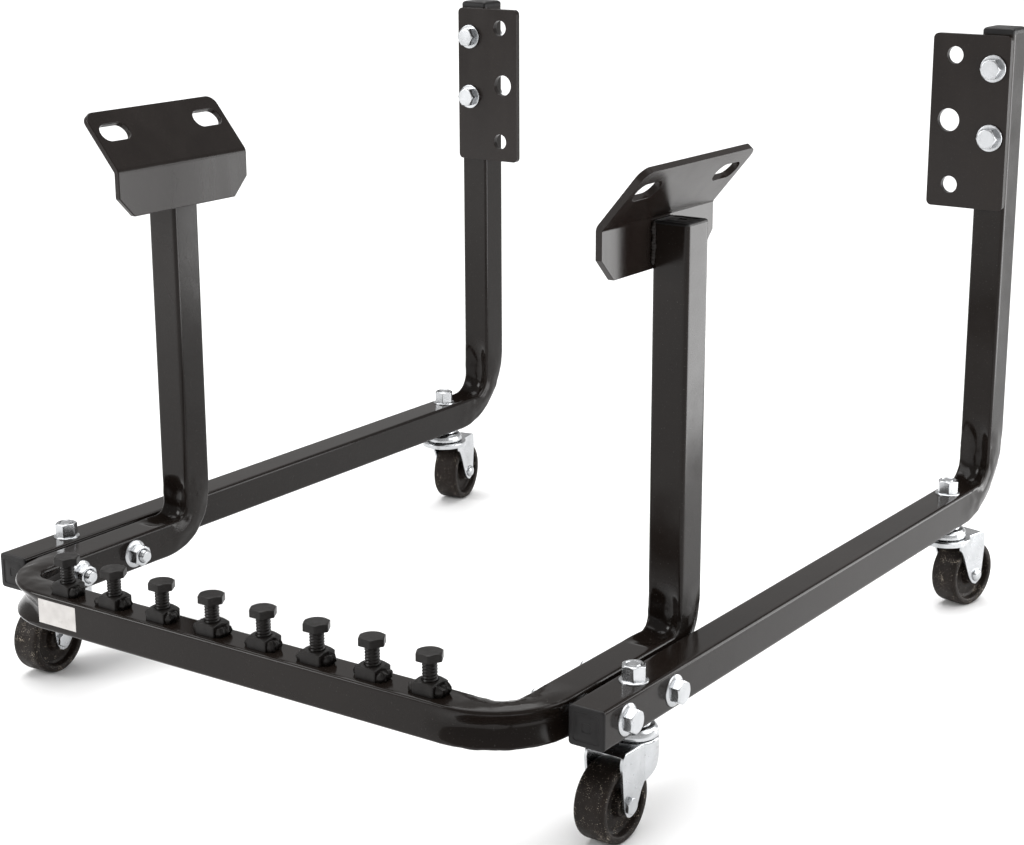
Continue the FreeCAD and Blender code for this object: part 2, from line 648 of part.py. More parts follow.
def main():
    os.makedirs("parts", exist_ok=True)
    save("right_rail", right_rail())
    save("left_rail", mirror_x(right_rail()))
    save("front_cradle", front_cradle())
    plugs()
    side_fasteners()
    save("right_bell_plate", right_bell_plate())
    save("left_bell_plate", mirror_x(right_bell_plate()))
    bell_fasteners()
    save("right_mount_plate", right_mount_plate())
    save("left_mount_plate", mirror_x(right_mount_plate()))
    mount_welds()
    bar_nuts()
    screws()
    label()
    stem_nuts()
    for name, side, stem_y, way, turned in CASTERS:
        if way < 0:
            caster(name, side, stem_y, way, turned, bolted_axle(), front_fork())
        else:
            caster(name, side, stem_y, way, turned, riveted_axle(), rear_fork())


main()
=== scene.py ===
import json
import math
import bmesh
import bpy
from mathutils import Matrix, Vector, noise


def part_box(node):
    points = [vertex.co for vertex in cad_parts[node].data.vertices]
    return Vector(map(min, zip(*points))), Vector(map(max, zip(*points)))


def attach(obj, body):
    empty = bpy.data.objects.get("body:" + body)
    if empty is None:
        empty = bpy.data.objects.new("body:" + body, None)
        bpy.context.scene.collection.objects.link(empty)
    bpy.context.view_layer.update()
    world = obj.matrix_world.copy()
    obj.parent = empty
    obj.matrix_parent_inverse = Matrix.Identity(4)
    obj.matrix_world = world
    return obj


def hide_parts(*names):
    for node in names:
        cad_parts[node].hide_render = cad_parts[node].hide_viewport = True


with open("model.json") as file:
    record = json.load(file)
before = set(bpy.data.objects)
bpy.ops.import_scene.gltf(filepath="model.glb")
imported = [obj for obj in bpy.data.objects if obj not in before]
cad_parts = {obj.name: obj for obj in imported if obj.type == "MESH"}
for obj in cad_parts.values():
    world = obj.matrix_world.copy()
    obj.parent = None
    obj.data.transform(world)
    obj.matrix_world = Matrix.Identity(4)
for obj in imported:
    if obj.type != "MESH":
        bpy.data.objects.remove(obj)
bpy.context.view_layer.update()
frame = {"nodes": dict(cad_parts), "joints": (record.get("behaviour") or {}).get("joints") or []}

# Lengths below are millimetres in the CAD's frame; meshes are turned to metres when they are made.
MM = 0.001
MERGE_M = 2e-6              # vertices this near each other, in metres, become one
ISLAND_MERGE_M = 1e-6
TUBE = 25.4                 # outside width of the square tube
TUBE_CORNER = 2.3           # its corner radius
SIDE_POINTS = 15            # points along one side of a tube ring
CORNER_POINTS = 3           # points round one corner, between the sides
RING_SIDE = SIDE_POINTS + CORNER_POINTS
RING = 4 * RING_SIDE
CORNER_MARK = 9.0           # place along the side that marks a corner point
BEND_STEPS = 46             # rings along a bend

# Bends: outer radius, radius of the ridge inside the bend, run-out beyond the bend,
# depth of the valley in the inner wall, depth of the groove in the outer wall, side bulge
REAR_BEND = (63.5, 16.0, 15.0, 7.0, 0.6, 0.8)
FOOT_BEND = (45.0, 9.0, 14.0, 5.5, 0.6, 1.2)
BAR_BEND = (58.0, 13.0, 14.0, 7.5, 6.5, 1.0)
BEND_ROUGHNESS = 0.5        # height of the dents in a bend

# Straight rings of the tubes, as distances along them
RAIL_RUN = (0, 150, 300, 430)
POST_HEIGHTS = (200, 300)
BAR_HALF_RUN = (0, 60, 120, 150)
SHORT_POST_DROPS = (160, 80, 0)
SCREW_HOLE_R = 5.4

# Plug caps: (half width, height) from the tube's end
FLAT_CAP_T = 1.8
FLAT_CAP = ((10.0, -9), (10.0, 0), (12.7, 0), (12.7, 0.9), (12.4, 1.4), (11.7, 1.8),
            (9.4, 1.8), (9.0, 1.35), (7.2, 1.35), (6.8, 1.7), (3.2, 1.7), (2.8, 1.3))
CROWN_T = 4.5
CROWN_CAP = ((10.0, -11), (10.0, 0), (12.7, 0), (12.7, 2.0), (12.45, 2.9), (11.6, 3.9),
             (10.4, 4.4), (9.4, 4.5), (4.0, 4.5))

# 3/8 in bolts and nuts
BOLT_AF = 14.3
BOLT_HEAD_T = 6.5
BOLT_CHAMFER = 30
SHANK_R = 4.7
SHANK_LENGTH = 16
NUT_BORE = 4.8
WASHER_BORE = 4.96
FLANGE_R = 10.2
FLANGE_T = 1.9
FLANGE_OVERLAP = 0.8        # depth of the hexagon's foot inside its flange
FLANGE = ((0.0, 0.0), (1.0, 0.0), (1.0, 0.5), (0.985, 0.75), (0.93, 1.05), (0.80, 1.6), (0.72, 1.9),
          (0.0, FLANGE_T))  # (share of the radius, height)
HEAD_EDGE = 0.22            # rounding where a head's flats meet its chamfer
HEAD_CORNER = math.radians(2.6)  # half the angle over which its corners are rounded

# Bar screws, their square nuts and the weld beads beside them
BAR_NUT_AF = 15.9
BAR_NUT_BORE = 4.95
BAR_SCREW_AF = 16.0
BAR_SCREW_HEAD_T = 5.4
BAR_SCREW_R = 4.85
BAR_BEAD_OUT = 8.4
BAR_BEAD_LIFT = 2.7
BAR_BEAD_HALF = 5.6
BAR_BEAD_R = 4.2
MOUNT_BEAD_R = 1.7

# Casters: outlines of (radius, height). Heights are from the wheel's middle in the wheel, above the
# fork's top plate in the cup, above the floor in the stem's foot and out from a leg in the button.
WHEEL_R = 25.4
WHEEL_SIDE = ((4.6, 11.2), (7.4, 11.2), (8.2, 10.4), (8.9, 6.0), (10.5, 5.4), (17.6, 5.4), (19.5, 6.2),
              (20.1, 9.8), (20.8, 10.8), (22.2, 11.0), (23.6, 11.0), (24.5, 10.5), (25.1, 9.7))
WHEEL_TREAD = ((WHEEL_R, 8.2), (WHEEL_R, 0.35), (WHEEL_R, 0.0))
FORK_TOP_Z = 60             # top plate of the fork, above the floor
CUP = ((4.9, 0.7), (8.4, 0.7), (8.4, 4.7), (14.4, 4.7), (14.6, 0.6), (15.8, 0.6), (15.75, 2.6),
       (15.1, 5.2), (13.4, 6.9), (11.0, 7.6), (10.6, 8.2), (10.6, 9.0), (4.2, 9.0))
STEM_FOOT = ((0.01, 55.9), (4.9, 55.9), (7.4, 57.4), (7.5, 57.9), (0.01, 57.9))
FORK_HALF_WIDTH = 13.7
AXLE_R = 3.0
AXLE_HEAD_T = 2.7
AXLE_BUTTON = ((5.0, 0), (4.9, 0.9), (3.9, 2.2), (2.6, AXLE_HEAD_T), (0.01, AXLE_HEAD_T))

# Camera: focal length in millimetres, degrees turned left, tilted down and rolled, and its place
LENS = 75.21
CAMERA_ANGLES = (34.98, 15.40, -0.19)
CAMERA_PLACE = (871.4, -1250.2, 586.6)
FLOOR_REACH_M = 30.0

X = Vector((1, 0, 0))
Y = Vector((0, 1, 0))
Z = Vector((0, 0, 1))


# ---------------------------------------------------------------- measures from the CAD

def box_mm(node):
    low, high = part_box(node)
    return low / MM, high / MM


def centre_mm(node):
    low, high = box_mm(node)
    return (low + high) / 2


def side_of(point):
    """1 on the right-hand side of the stand, -1 on the left."""
    return 1 if point.x > 0 else -1


def islands(node):
    """Middle, lowest and highest corner of each separate solid in a CAD node, in millimetres."""
    bm = bmesh.new()
    bm.from_mesh(frame["nodes"][node].data)
    bmesh.ops.remove_doubles(bm, verts=bm.verts, dist=ISLAND_MERGE_M)
    left = set(bm.verts)
    boxes = []
    while left:
        stack = [left.pop()]
        low = stack[0].co.copy()
        high = low.copy()
        while stack:
            vert = stack.pop()
            low = Vector(map(min, low, vert.co))
            high = Vector(map(max, high, vert.co))
            for edge in vert.link_edges:
                other = edge.other_vert(vert)
                if other in left:
                    left.remove(other)
                    stack.append(other)
        boxes.append((low / MM, high / MM))
    bm.free()
    boxes.sort(key=lambda box: tuple(box[0]))
    return [((low + high) / 2, low, high) for low, high in boxes]


# ---------------------------------------------------------------- meshes

class Solid:
    """Vertices and faces of one piece, which may be several separate bodies."""

    def __init__(self):
        self.verts = []
        self.faces = []

    def add(self, verts, faces, matrix=Matrix.Identity(4)):
        start = len(self.verts)
        self.verts += [matrix @ Vector(v) for v in verts]
        self.faces += [[i + start for i in face] for face in faces]
        return self

    def join(self, other, matrix):
        return self.add(other.verts, other.faces, matrix)


def finish_mesh(obj, sharp):
    """Merges, orients and shades a mesh; edges sharper than the angle sharp, in degrees, stay crisp."""
    bm = bmesh.new()
    bm.from_mesh(obj.data)
    bmesh.ops.remove_doubles(bm, verts=bm.verts, dist=MERGE_M)
    bmesh.ops.recalc_face_normals(bm, faces=bm.faces)
    bm.to_mesh(obj.data)
    bm.free()
    obj.data.shade_smooth()
    obj.data.set_sharp_from_angle(angle=math.radians(sharp))
    weighted = obj.modifiers.new("weighted", "WEIGHTED_NORMAL")
    weighted.keep_sharp = True


def piece(name, solid, material, body, replaced, sharp=38):
    """Makes a solid into a visible piece that rides on a body and stands for a CAD node."""
    mesh = bpy.data.meshes.new(name)
    mesh.from_pydata([v * MM for v in solid.verts], [], solid.faces)
    obj = bpy.data.objects.new(name, mesh)
    bpy.context.scene.collection.objects.link(obj)
    finish_mesh(obj, sharp)
    dress(obj, material, body, replaced)
    return obj


def dress(obj, material, body, replaced):
    obj.data.materials.clear()
    obj.data.materials.append(MATERIALS[material])
    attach(obj, body)
    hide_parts(replaced)


def frozen(obj):
    """Applies the modifiers that the object has now."""
    graph = bpy.context.evaluated_depsgraph_get()
    mesh = bpy.data.meshes.new_from_object(obj.evaluated_get(graph))
    obj.modifiers.clear()
    obj.data = mesh


def copy_node(name, node, width, material, body, segments=3, angle=28, shape=None):
    """A copy of a CAD node with its edges bevelled; shape may change the mesh before that."""
    mesh = frame["nodes"][node].data.copy()
    obj = bpy.data.objects.new(name, mesh)
    bpy.context.scene.collection.objects.link(obj)
    bm = bmesh.new()
    bm.from_mesh(mesh)
    bmesh.ops.remove_doubles(bm, verts=bm.verts, dist=MERGE_M)
    bmesh.ops.dissolve_limit(bm, angle_limit=math.radians(0.6), verts=bm.verts, edges=bm.edges)
    if shape:
        shape(bm)
    bm.to_mesh(mesh)
    bm.free()
    bevel = obj.modifiers.new("bevel", "BEVEL")
    bevel.width = width * MM
    bevel.segments = segments
    bevel.limit_method = "ANGLE"
    bevel.angle_limit = math.radians(angle)
    frozen(obj)
    finish_mesh(obj, 35)
    dress(obj, material, body, node)


def upright(base, outward):
    """Matrix that stands a shape built along +Z on base, pointing outward."""
    turn = Z.rotation_difference(outward).to_matrix().to_4x4()
    return Matrix.Translation(base) @ turn


def move(x, y, z):
    return Matrix.Translation(Vector((x, y, z)))


def round_point(radius, angle, z):
    return Vector((radius * math.cos(angle), radius * math.sin(angle), z))


def end_faces(count, size):
    """The two faces that close a stack of rings."""
    return [list(range(size)), [(count - 1) * size + k for k in range(size)]]


def soften(points, radius, closed=False, steps=3):
    """Rounds the corners of a flat outline."""
    count = len(points)
    rounded = []
    for i, point in enumerate(points):
        here = Vector(point)
        if not closed and i in (0, count - 1):
            rounded.append(here)
            continue
        back = Vector(points[i - 1]) - here
        ahead = Vector(points[(i + 1) % count]) - here
        cut = min(radius, back.length * 0.45, ahead.length * 0.45)
        start = here + back.normalized() * cut
        end = here + ahead.normalized() * cut
        for step in range(steps + 1):
            s = step / steps
            rounded.append(start * (1 - s) ** 2 + here * 2 * s * (1 - s) + end * s ** 2)
    return rounded


def rings_to_faces(count, size, closed_path=False):
    """Four-sided faces between rings; closed_path joins the last ring to the first."""
    faces = []
    for i in range(count if closed_path else count - 1):
        j = (i + 1) % count
        for k in range(size):
            n = (k + 1) % size
            faces.append([i * size + k, i * size + n, j * size + n, j * size + k])
    return faces


def lathe(profile, segments, closed=False):
    """Turns an outline of (radius, height) points round Z; a closed outline makes a ring."""
    verts = [round_point(radius, 2 * math.pi * k / segments, height)
             for radius, height in profile for k in range(segments)]
    faces = rings_to_faces(len(profile), segments, closed)
    if not closed:
        faces += end_faces(len(profile), segments)
    return verts, faces


def corner_angles(sides):
    """Angles round a regular polygon, close together near its corners, with the corner's offset."""
    half = 180 / sides
    shares = (-1, -0.73, -0.47, -0.27, -0.13, -0.067, 0, 0.067, 0.13, 0.27, 0.47, 0.73)
    return [(math.radians(2 * half * i + half * share), math.radians(half * share))
            for i in range(sides) for share in shares]


def flat_profile(reach, height, top_r, slope):
    """(radius, height) points up the side of a head or nut, where its side is at reach."""
    shoulder = height - (reach - top_r) * slope
    return [
        (reach - 0.2, 0.0),
        (reach, 0.2),
        (reach, HEAD_EDGE + 0.1),
        (reach, shoulder - HEAD_EDGE),
        (reach - HEAD_EDGE, shoulder + HEAD_EDGE * slope),
        (top_r + 0.2, height - 0.2 * slope),
        (top_r - 0.25, height),
    ]


def wrench_solid(across, height, chamfer, top_share, bore=0.0, sides=6):
    """Polygonal head or nut standing on z = 0, its corners turned to a chamfer."""
    flat = across / 2
    half = math.pi / sides
    soft = flat / math.cos(half - HEAD_CORNER)
    slope = math.tan(math.radians(chamfer))
    angles = corner_angles(sides)
    columns = []
    for a, offset in angles:
        reach = flat / math.cos(half - abs(offset))
        if reach > soft:
            reach = soft + (reach - soft) * 0.35
        columns.append([round_point(r, a, z)
                        for r, z in flat_profile(reach, height, flat * top_share, slope)])
    count = len(columns)
    levels = len(columns[0])
    faces = []
    for i in range(count):
        j = (i + 1) % count
        for k in range(levels - 1):
            faces.append([i * levels + k, j * levels + k, j * levels + k + 1, i * levels + k + 1])
    solid = Solid().add([v for column in columns for v in column], faces)
    top = [i * levels + levels - 1 for i in range(count)]
    bottom = [i * levels for i in range(count)]
    if bore:
        add_bore(solid, bore, height, [a for a, _ in angles], bottom, top)
    else:
        solid.faces += [top, bottom[::-1]]
    return solid


def add_bore(solid, bore, height, angles, bottom, top):
    """Countersunk hole up the middle, between the lowest and highest loops of the outside."""
    count = len(angles)
    inner = []
    for z, grow in ((0.0, 0.5), (0.5, 0.0), (height - 0.7, 0.0), (height, 0.7)):
        start = len(solid.verts)
        solid.verts += [round_point(bore + grow, a, z) for a in angles]
        inner.append(list(range(start, start + count)))
    loops = [bottom] + inner + [top]
    for first, second in zip(loops, loops[1:]):
        for i in range(count):
            j = (i + 1) % count
            solid.faces.append([first[i], first[j], second[j], second[i]])


def thread(radius, start, end, pitch, depth):
    """Threaded rod between two heights, with a chamfered end at the start."""
    segments = 40
    steps = int((end - start) / pitch * 6)
    verts = []
    for i in range(steps + 1):
        z = start + (end - start) * i / steps
        taper = max(0.0, 1.0 - (z - start)) * 0.8
        for k in range(segments):
            turn = k / segments
            wave = abs(((z / pitch - turn) % 1.0) * 2 - 1)
            verts.append(round_point(radius - depth * wave - taper, 2 * math.pi * turn, z))
    return verts, rings_to_faces(steps + 1, segments) + end_faces(steps + 1, segments)


def bead(start, end, radius, seed):
    """Lumpy weld bead between two points, a little flatter than it is wide."""
    along = end - start
    length = along.length
    along.normalize()
    side = along.orthogonal().normalized()
    up = along.cross(side)
    steps = max(10, int(length / 0.45))
    size = 16
    verts = []
    for i in range(steps + 1):
        s = i / steps
        here = start + (end - start) * s
        ends = min(1.0, math.sqrt(max(0.0, 1 - (2 * s - 1) ** 6)) + 0.12)
        ripple = 0.09 * math.cos(2 * math.pi * s * length / 1.9 + seed)
        for k in range(size):
            a = 2 * math.pi * k / size
            normal = side * math.cos(a) + up * math.sin(a) * 0.8
            lump = noise.noise((here + normal * radius) * 0.45 + Vector((seed, 0, 0))) * 0.45
            verts.append(here + normal * radius * ends * (1 + ripple + lump))
    return verts, rings_to_faces(steps + 1, size) + end_faces(steps + 1, size)


# ---------------------------------------------------------------- square tube with crushed bends

def section(half_u, half_v):
    """Rounded square, counter-clockwise from +u: (u, v, side, place along the side from -1 to 1)."""
    points = []
    for side in range(4):
        wide, tall = (half_u, half_v) if side % 2 == 0 else (half_v, half_u)
        flat = tall - TUBE_CORNER
        local = []
        for i in range(SIDE_POINTS):
            t = -1 + 2 * i / (SIDE_POINTS - 1)
            local.append((wide, t * flat, t))
        for i in range(1, CORNER_POINTS + 1):
            a = math.pi / 2 * i / (CORNER_POINTS + 1)
            local.append((wide - TUBE_CORNER * (1 - math.cos(a)), flat + TUBE_CORNER * math.sin(a),
                          CORNER_MARK))
        for a, b, t in local:
            u, v = ((a, b), (-b, a), (-a, -b), (b, -a))[side]
            points.append((u, v, side, t))
    return points


def tube_ring(centre, u_dir, v_dir, half_u, crush, turns):
    """One ring of the tube. crush is (valley depth, groove depth, bulge, roughness), and turns is the
    number of sides by which the first point is moved, so that rings of different bends line up.
    Side 0 is the outer wall of the bend and side 2 its inner wall."""
    valley, groove, bulge, rough = crush
    ring = []
    for u, v, side, t in section(half_u, TUBE / 2):
        if t != CORNER_MARK:
            dish = (1 - abs(t) ** 2.2) ** 1.3
            vee = (1 - abs(t) ** 1.5) ** 1.25
            if side == 0:
                u -= groove * vee
            elif side == 2:
                u += valley * dish
            elif side == 1:
                v += bulge * dish
            else:
                v -= bulge * dish
        point = centre + u_dir * u + v_dir * v
        if rough:
            away = (u_dir * u + v_dir * v).normalized()
            wobble = noise.noise(point * 0.11) * 0.9 + noise.noise(point * 0.3 + Vector((7, 3, 1))) * 0.35
            point = point + away * wobble * rough
        ring.append(point)
    shift = turns * RING_SIDE
    return ring[shift:] + ring[:shift]


def on_path(corner, back, ahead, radius, run, distance):
    """Point at a distance along a straight-arc-straight path that comes in along back and leaves
    along ahead, and whose straight lines would meet at the corner."""
    arc_length = radius * math.pi / 2
    if distance < run:
        return corner - back * (radius + run - distance)
    if distance > run + arc_length:
        return corner + ahead * (radius + distance - run - arc_length)
    centre = corner - back * radius + ahead * radius
    a = (distance - run) / radius
    return centre - ahead * radius * math.cos(a) + back * radius * math.sin(a)


def bend_rings(outer_corner, back, ahead, bend, v_dir, turns):
    """Rings through a crushed bend: the outer wall and the inner ridges follow their own arcs."""
    outer_r, inner_r, run, valley, groove, bulge = bend
    inner_corner = outer_corner - back * TUBE + ahead * TUBE
    outer_length = outer_r * math.pi / 2 + 2 * run
    inner_run = outer_r + run - TUBE - inner_r
    inner_length = inner_r * math.pi / 2 + 2 * inner_run
    rings = []
    for i in range(BEND_STEPS + 1):
        w = i / BEND_STEPS
        outer = on_path(outer_corner, back, ahead, outer_r, run, w * outer_length)
        inner = on_path(inner_corner, back, ahead, inner_r, inner_run, w * inner_length)
        fade = min(1.0, w / 0.3, (1 - w) / 0.3)
        fade = fade * fade * (3 - 2 * fade)
        crease = 1 + 0.12 * math.cos(2 * math.pi * (w - 0.5) * 3) * fade
        crush = (valley * fade * crease, groove * fade, bulge * fade, BEND_ROUGHNESS * fade)
        across = outer - inner
        rings.append(tube_ring((outer + inner) / 2, across.normalized(), v_dir,
                               across.length / 2, crush, turns))
    return rings


def straight_ring(centre, u_dir, v_dir, turns):
    return tube_ring(centre, u_dir, v_dir, TUBE / 2, (0, 0, 0, 0), turns)


def tube_mesh(rings, cap_start):
    """Tube through its rings, closed at the end and, where cap_start says so, at the start."""
    verts = [point for ring in rings for point in ring]
    first_cap, last_cap = end_faces(len(rings), RING)
    faces = rings_to_faces(len(rings), RING)
    return verts, faces + ([first_cap] if cap_start else []) + [last_cap]


def rail_solid(node):
    low, high = box_mm(node)
    x = (low.x + high.x) / 2
    corner = Vector((x, high.y, low.z))
    middle_z = low.z + TUBE / 2
    rings = [straight_ring(Vector((x, low.y + s, middle_z)), -Z, X, 0) for s in RAIL_RUN]
    rings += bend_rings(corner, Y, Z, REAR_BEND, X, 0)
    post_y = high.y - TUBE / 2
    rings += [straight_ring(Vector((x, post_y, z)), Y, X, 0) for z in (*POST_HEIGHTS, high.z)]
    return Solid().add(*tube_mesh(rings, True))


def cradle_half(side, node):
    """Half of the front tube, from the middle of the bar to the top of a short post."""
    low, high = box_mm(node)
    out = X * side
    bar_y = low.y + TUBE / 2
    middle_z = low.z + TUBE / 2
    turn_corner = Vector((high.x * side, low.y, middle_z))
    foot_corner = Vector(((high.x - TUBE / 2) * side, high.y, low.z))
    rings = [straight_ring(Vector((s * side, bar_y, middle_z)), -Y, Z, 0) for s in BAR_HALF_RUN]
    rings += bend_rings(turn_corner, out, Y, BAR_BEND, Z, 0)
    rings += bend_rings(foot_corner, Y, Z, FOOT_BEND, out, 1)
    top = Vector((foot_corner.x, high.y - TUBE / 2, high.z))
    rings += [straight_ring(top - Z * drop, Y, out, 1) for drop in SHORT_POST_DROPS]
    return tube_mesh(rings, False)


def cut_holes(obj, spots, radius, low_z, high_z):
    """Round upright holes, cut with a boolean that is applied at once."""
    cutter = Solid()
    for spot in spots:
        cutter.add(*lathe([(radius, low_z), (radius, high_z)], 32), move(spot.x, spot.y, 0))
    mesh = bpy.data.meshes.new("cutter")
    mesh.from_pydata([v * MM for v in cutter.verts], [], cutter.faces)
    tool = bpy.data.objects.new("cutter", mesh)
    bpy.context.scene.collection.objects.link(tool)
    cut = obj.modifiers.new("holes", "BOOLEAN")
    cut.operation = "DIFFERENCE"
    cut.solver = "EXACT"
    cut.object = tool
    bpy.context.view_layer.update()
    frozen(obj)
    bpy.data.objects.remove(tool)
    bpy.data.meshes.remove(mesh)


# ---------------------------------------------------------------- materials

class Finish:
    """Builds one procedural Principled material."""

    def __init__(self, name, **sockets):
        self.material = bpy.data.materials.new(name)
        self.material.use_nodes = True
        self.tree = self.material.node_tree
        self.shader = self.tree.nodes["Principled BSDF"]
        self.coords = self.tree.nodes.new("ShaderNodeTexCoord").outputs["Object"]
        self.normal = None
        for socket, value in sockets.items():
            self.shader.inputs[socket.replace("_", " ")].default_value = value

    def link(self, source, target):
        self.tree.links.new(source, target)

    def noise(self, scale, detail=3.0, rough=0.5, stretch=(1, 1, 1), shift=0.0):
        mapping = self.tree.nodes.new("ShaderNodeMapping")
        mapping.inputs["Scale"].default_value = stretch
        mapping.inputs["Location"].default_value = (shift, shift, shift)
        self.link(self.coords, mapping.inputs["Vector"])
        node = self.tree.nodes.new("ShaderNodeTexNoise")
        node.inputs["Scale"].default_value = scale
        node.inputs["Detail"].default_value = detail
        node.inputs["Roughness"].default_value = rough
        self.link(mapping.outputs["Vector"], node.inputs["Vector"])
        return node.outputs["Fac"]

    def steps(self, source, low, high, start=0.3, end=0.7):
        """Maps start to end onto low to high."""
        node = self.tree.nodes.new("ShaderNodeMapRange")
        node.inputs["From Min"].default_value = start
        node.inputs["From Max"].default_value = end
        node.inputs["To Min"].default_value = low
        node.inputs["To Max"].default_value = high
        self.link(source, node.inputs["Value"])
        return node.outputs["Result"]

    def add(self, first, second):
        node = self.tree.nodes.new("ShaderNodeMath")
        self.link(first, node.inputs[0])
        self.link(second, node.inputs[1])
        return node.outputs[0]

    def mix(self, factor, first, second):
        """Blends two colours, each three numbers or a node's output."""
        node = self.tree.nodes.new("ShaderNodeMix")
        node.data_type = "RGBA"
        self.link(factor, node.inputs["Factor"])
        for socket, value in (("A", first), ("B", second)):
            target = [s for s in node.inputs if s.name == socket and s.type == "RGBA"][0]
            if isinstance(value, tuple):
                target.default_value = (*value, 1)
            else:
                self.link(value, target)
        return [s for s in node.outputs if s.type == "RGBA"][0]

    def colour(self, source):
        self.link(source, self.shader.inputs["Base Color"])

    def rough(self, source):
        self.link(source, self.shader.inputs["Roughness"])

    def bump(self, source, height):
        """Adds a bump of a height in millimetres to those already there."""
        node = self.tree.nodes.new("ShaderNodeBump")
        node.inputs["Distance"].default_value = height * MM
        node.inputs["Strength"].default_value = 1.0
        self.link(source, node.inputs["Height"])
        if self.normal:
            self.link(self.normal, node.inputs["Normal"])
        self.normal = node.outputs["Normal"]
        self.link(self.normal, self.shader.inputs["Normal"])


def gloss_black_paint():
    f = Finish("gloss_black_paint", Specular_IOR_Level=0.17)
    haze = f.noise(9, 5, 0.6)
    dust = f.steps(f.noise(900, 2, 0.6), 0, 1, 0.66, 0.74)
    base = f.mix(f.steps(haze, 0, 1), (0.0062, 0.0043, 0.0034), (0.0100, 0.0074, 0.0061))
    f.colour(f.mix(f.steps(dust, 0, 0.55, 0, 1), base, (0.07, 0.066, 0.062)))
    f.rough(f.steps(f.noise(60, 6, 0.65), 0.12, 0.21))
    f.bump(f.noise(26, 2, 0.4), 0.14)
    f.bump(f.noise(420, 2, 0.5), 0.012)
    return f.material


def satin_black_paint():
    f = Finish("satin_black_paint", Specular_IOR_Level=0.20)
    smear = f.noise(30, 5, 0.6, stretch=(1, 1, 0.22))
    base = f.mix(f.steps(smear, 0, 1), (0.0090, 0.0062, 0.0052), (0.0140, 0.0104, 0.0088))
    dust = f.steps(f.noise(1100, 2, 0.6), 0, 0.5, 0.66, 0.76)
    f.colour(f.mix(dust, base, (0.05, 0.046, 0.043)))
    f.rough(f.steps(smear, 0.15, 0.27))
    f.bump(f.noise(22, 2, 0.4), 0.05)
    f.bump(f.noise(1500, 3, 0.6), 0.006)
    return f.material


def black_plastic():
    f = Finish("black_plastic", Specular_IOR_Level=0.18)
    f.colour(f.mix(f.steps(f.noise(50, 4), 0, 1), (0.0075, 0.0070, 0.0072), (0.0130, 0.0122, 0.0124)))
    f.rough(f.steps(f.noise(120, 4), 0.34, 0.5))
    f.bump(f.noise(2600, 3, 0.6), 0.02)
    return f.material


def zinc_steel():
    f = Finish("zinc_steel", Metallic=1.0)
    tone = f.noise(60, 4, 0.55)
    base = f.mix(f.steps(tone, 0, 1), (0.40, 0.41, 0.42), (0.52, 0.53, 0.545))
    f.colour(f.mix(f.steps(f.noise(900, 3), 0, 0.30, 0.60, 0.85), base, (0.20, 0.20, 0.20)))
    f.rough(f.steps(f.noise(160, 4, 0.6, shift=3.0), 0.20, 0.30))
    f.bump(f.noise(420, 3, 0.5), 0.004)
    return f.material


def bearing_steel():
    f = Finish("bearing_steel", Metallic=1.0)
    f.colour(f.mix(f.steps(f.noise(200, 3), 0, 1), (0.42, 0.41, 0.40), (0.60, 0.60, 0.60)))
    f.rough(f.steps(f.noise(300, 4), 0.2, 0.34))
    f.bump(f.noise(900, 3), 0.006)
    return f.material


def black_oxide_steel():
    f = Finish("black_oxide_steel", Specular_IOR_Level=0.20)
    base = f.mix(f.steps(f.noise(110, 5, 0.6), 0, 1), (0.0036, 0.0028, 0.0024), (0.0090, 0.0074, 0.0066))
    specks = f.steps(f.noise(1300, 2, 0.6), 0, 0.5, 0.64, 0.74)
    f.colour(f.mix(specks, base, (0.06, 0.055, 0.05)))
    f.rough(f.steps(f.noise(180, 5, 0.6), 0.30, 0.52))
    f.bump(f.noise(300, 4, 0.6), 0.06)
    f.bump(f.noise(1400, 3, 0.6), 0.02)
    return f.material


def speckled_rubber():
    f = Finish("speckled_rubber", Specular_IOR_Level=0.15)
    base = f.mix(f.steps(f.noise(70, 5), 0, 1), (0.0070, 0.0048, 0.0037), (0.0140, 0.0098, 0.0076))
    clusters = f.steps(f.noise(110, 3, 0.6, shift=9.0), 0.0, 0.11, 0.50, 0.66)
    grain = f.noise(1300, 2, 0.7)
    lifted = f.add(grain, clusters)
    specks = f.steps(lifted, 0, 0.9, 0.66, 0.72)
    pale = f.mix(specks, base, (0.30, 0.26, 0.21))
    scuffs = f.steps(f.noise(260, 4, 0.7, shift=5.0), 0, 0.5, 0.62, 0.76)
    f.colour(f.mix(scuffs, pale, (0.050, 0.046, 0.043)))
    f.rough(f.steps(f.noise(150, 4), 0.42, 0.66))
    f.bump(f.noise(1200, 4, 0.65), 0.05)
    f.bump(f.noise(90, 3), 0.08)
    return f.material


def white_label():
    f = Finish("white_label", Specular_IOR_Level=0.5, Coat_Weight=0.3, Coat_Roughness=0.2)
    f.colour(f.mix(f.steps(f.noise(90, 4), 0, 1), (0.44, 0.42, 0.405), (0.56, 0.54, 0.52)))
    f.rough(f.steps(f.noise(200, 4), 0.25, 0.42))
    f.bump(f.noise(120, 3), 0.03)
    return f.material


MATERIALS = {make.__name__: make() for make in (
    gloss_black_paint, satin_black_paint, black_plastic, zinc_steel, bearing_steel,
    black_oxide_steel, speckled_rubber, white_label)}


# ---------------------------------------------------------------- frame tubes, plates and plugs

def tubes():
    for node in ("left_rail", "right_rail"):
        piece(node + "_tube", rail_solid(node), "gloss_black_paint", "frame", node)
    solid = Solid()
    for side in (-1, 1):
        solid.add(*cradle_half(side, "front_cradle"))
    obj = piece("front_cradle_tube", solid, "gloss_black_paint", "frame", "front_cradle")
    obj.modifiers.clear()
    spots = [centre_mm("bar_screw_%d" % n) for n in range(1, 9)]
    low, _ = box_mm("front_cradle")
    cut_holes(obj, spots, SCREW_HOLE_R, low.z + 3, low.z + TUBE + 5)
    finish_mesh(obj, 38)


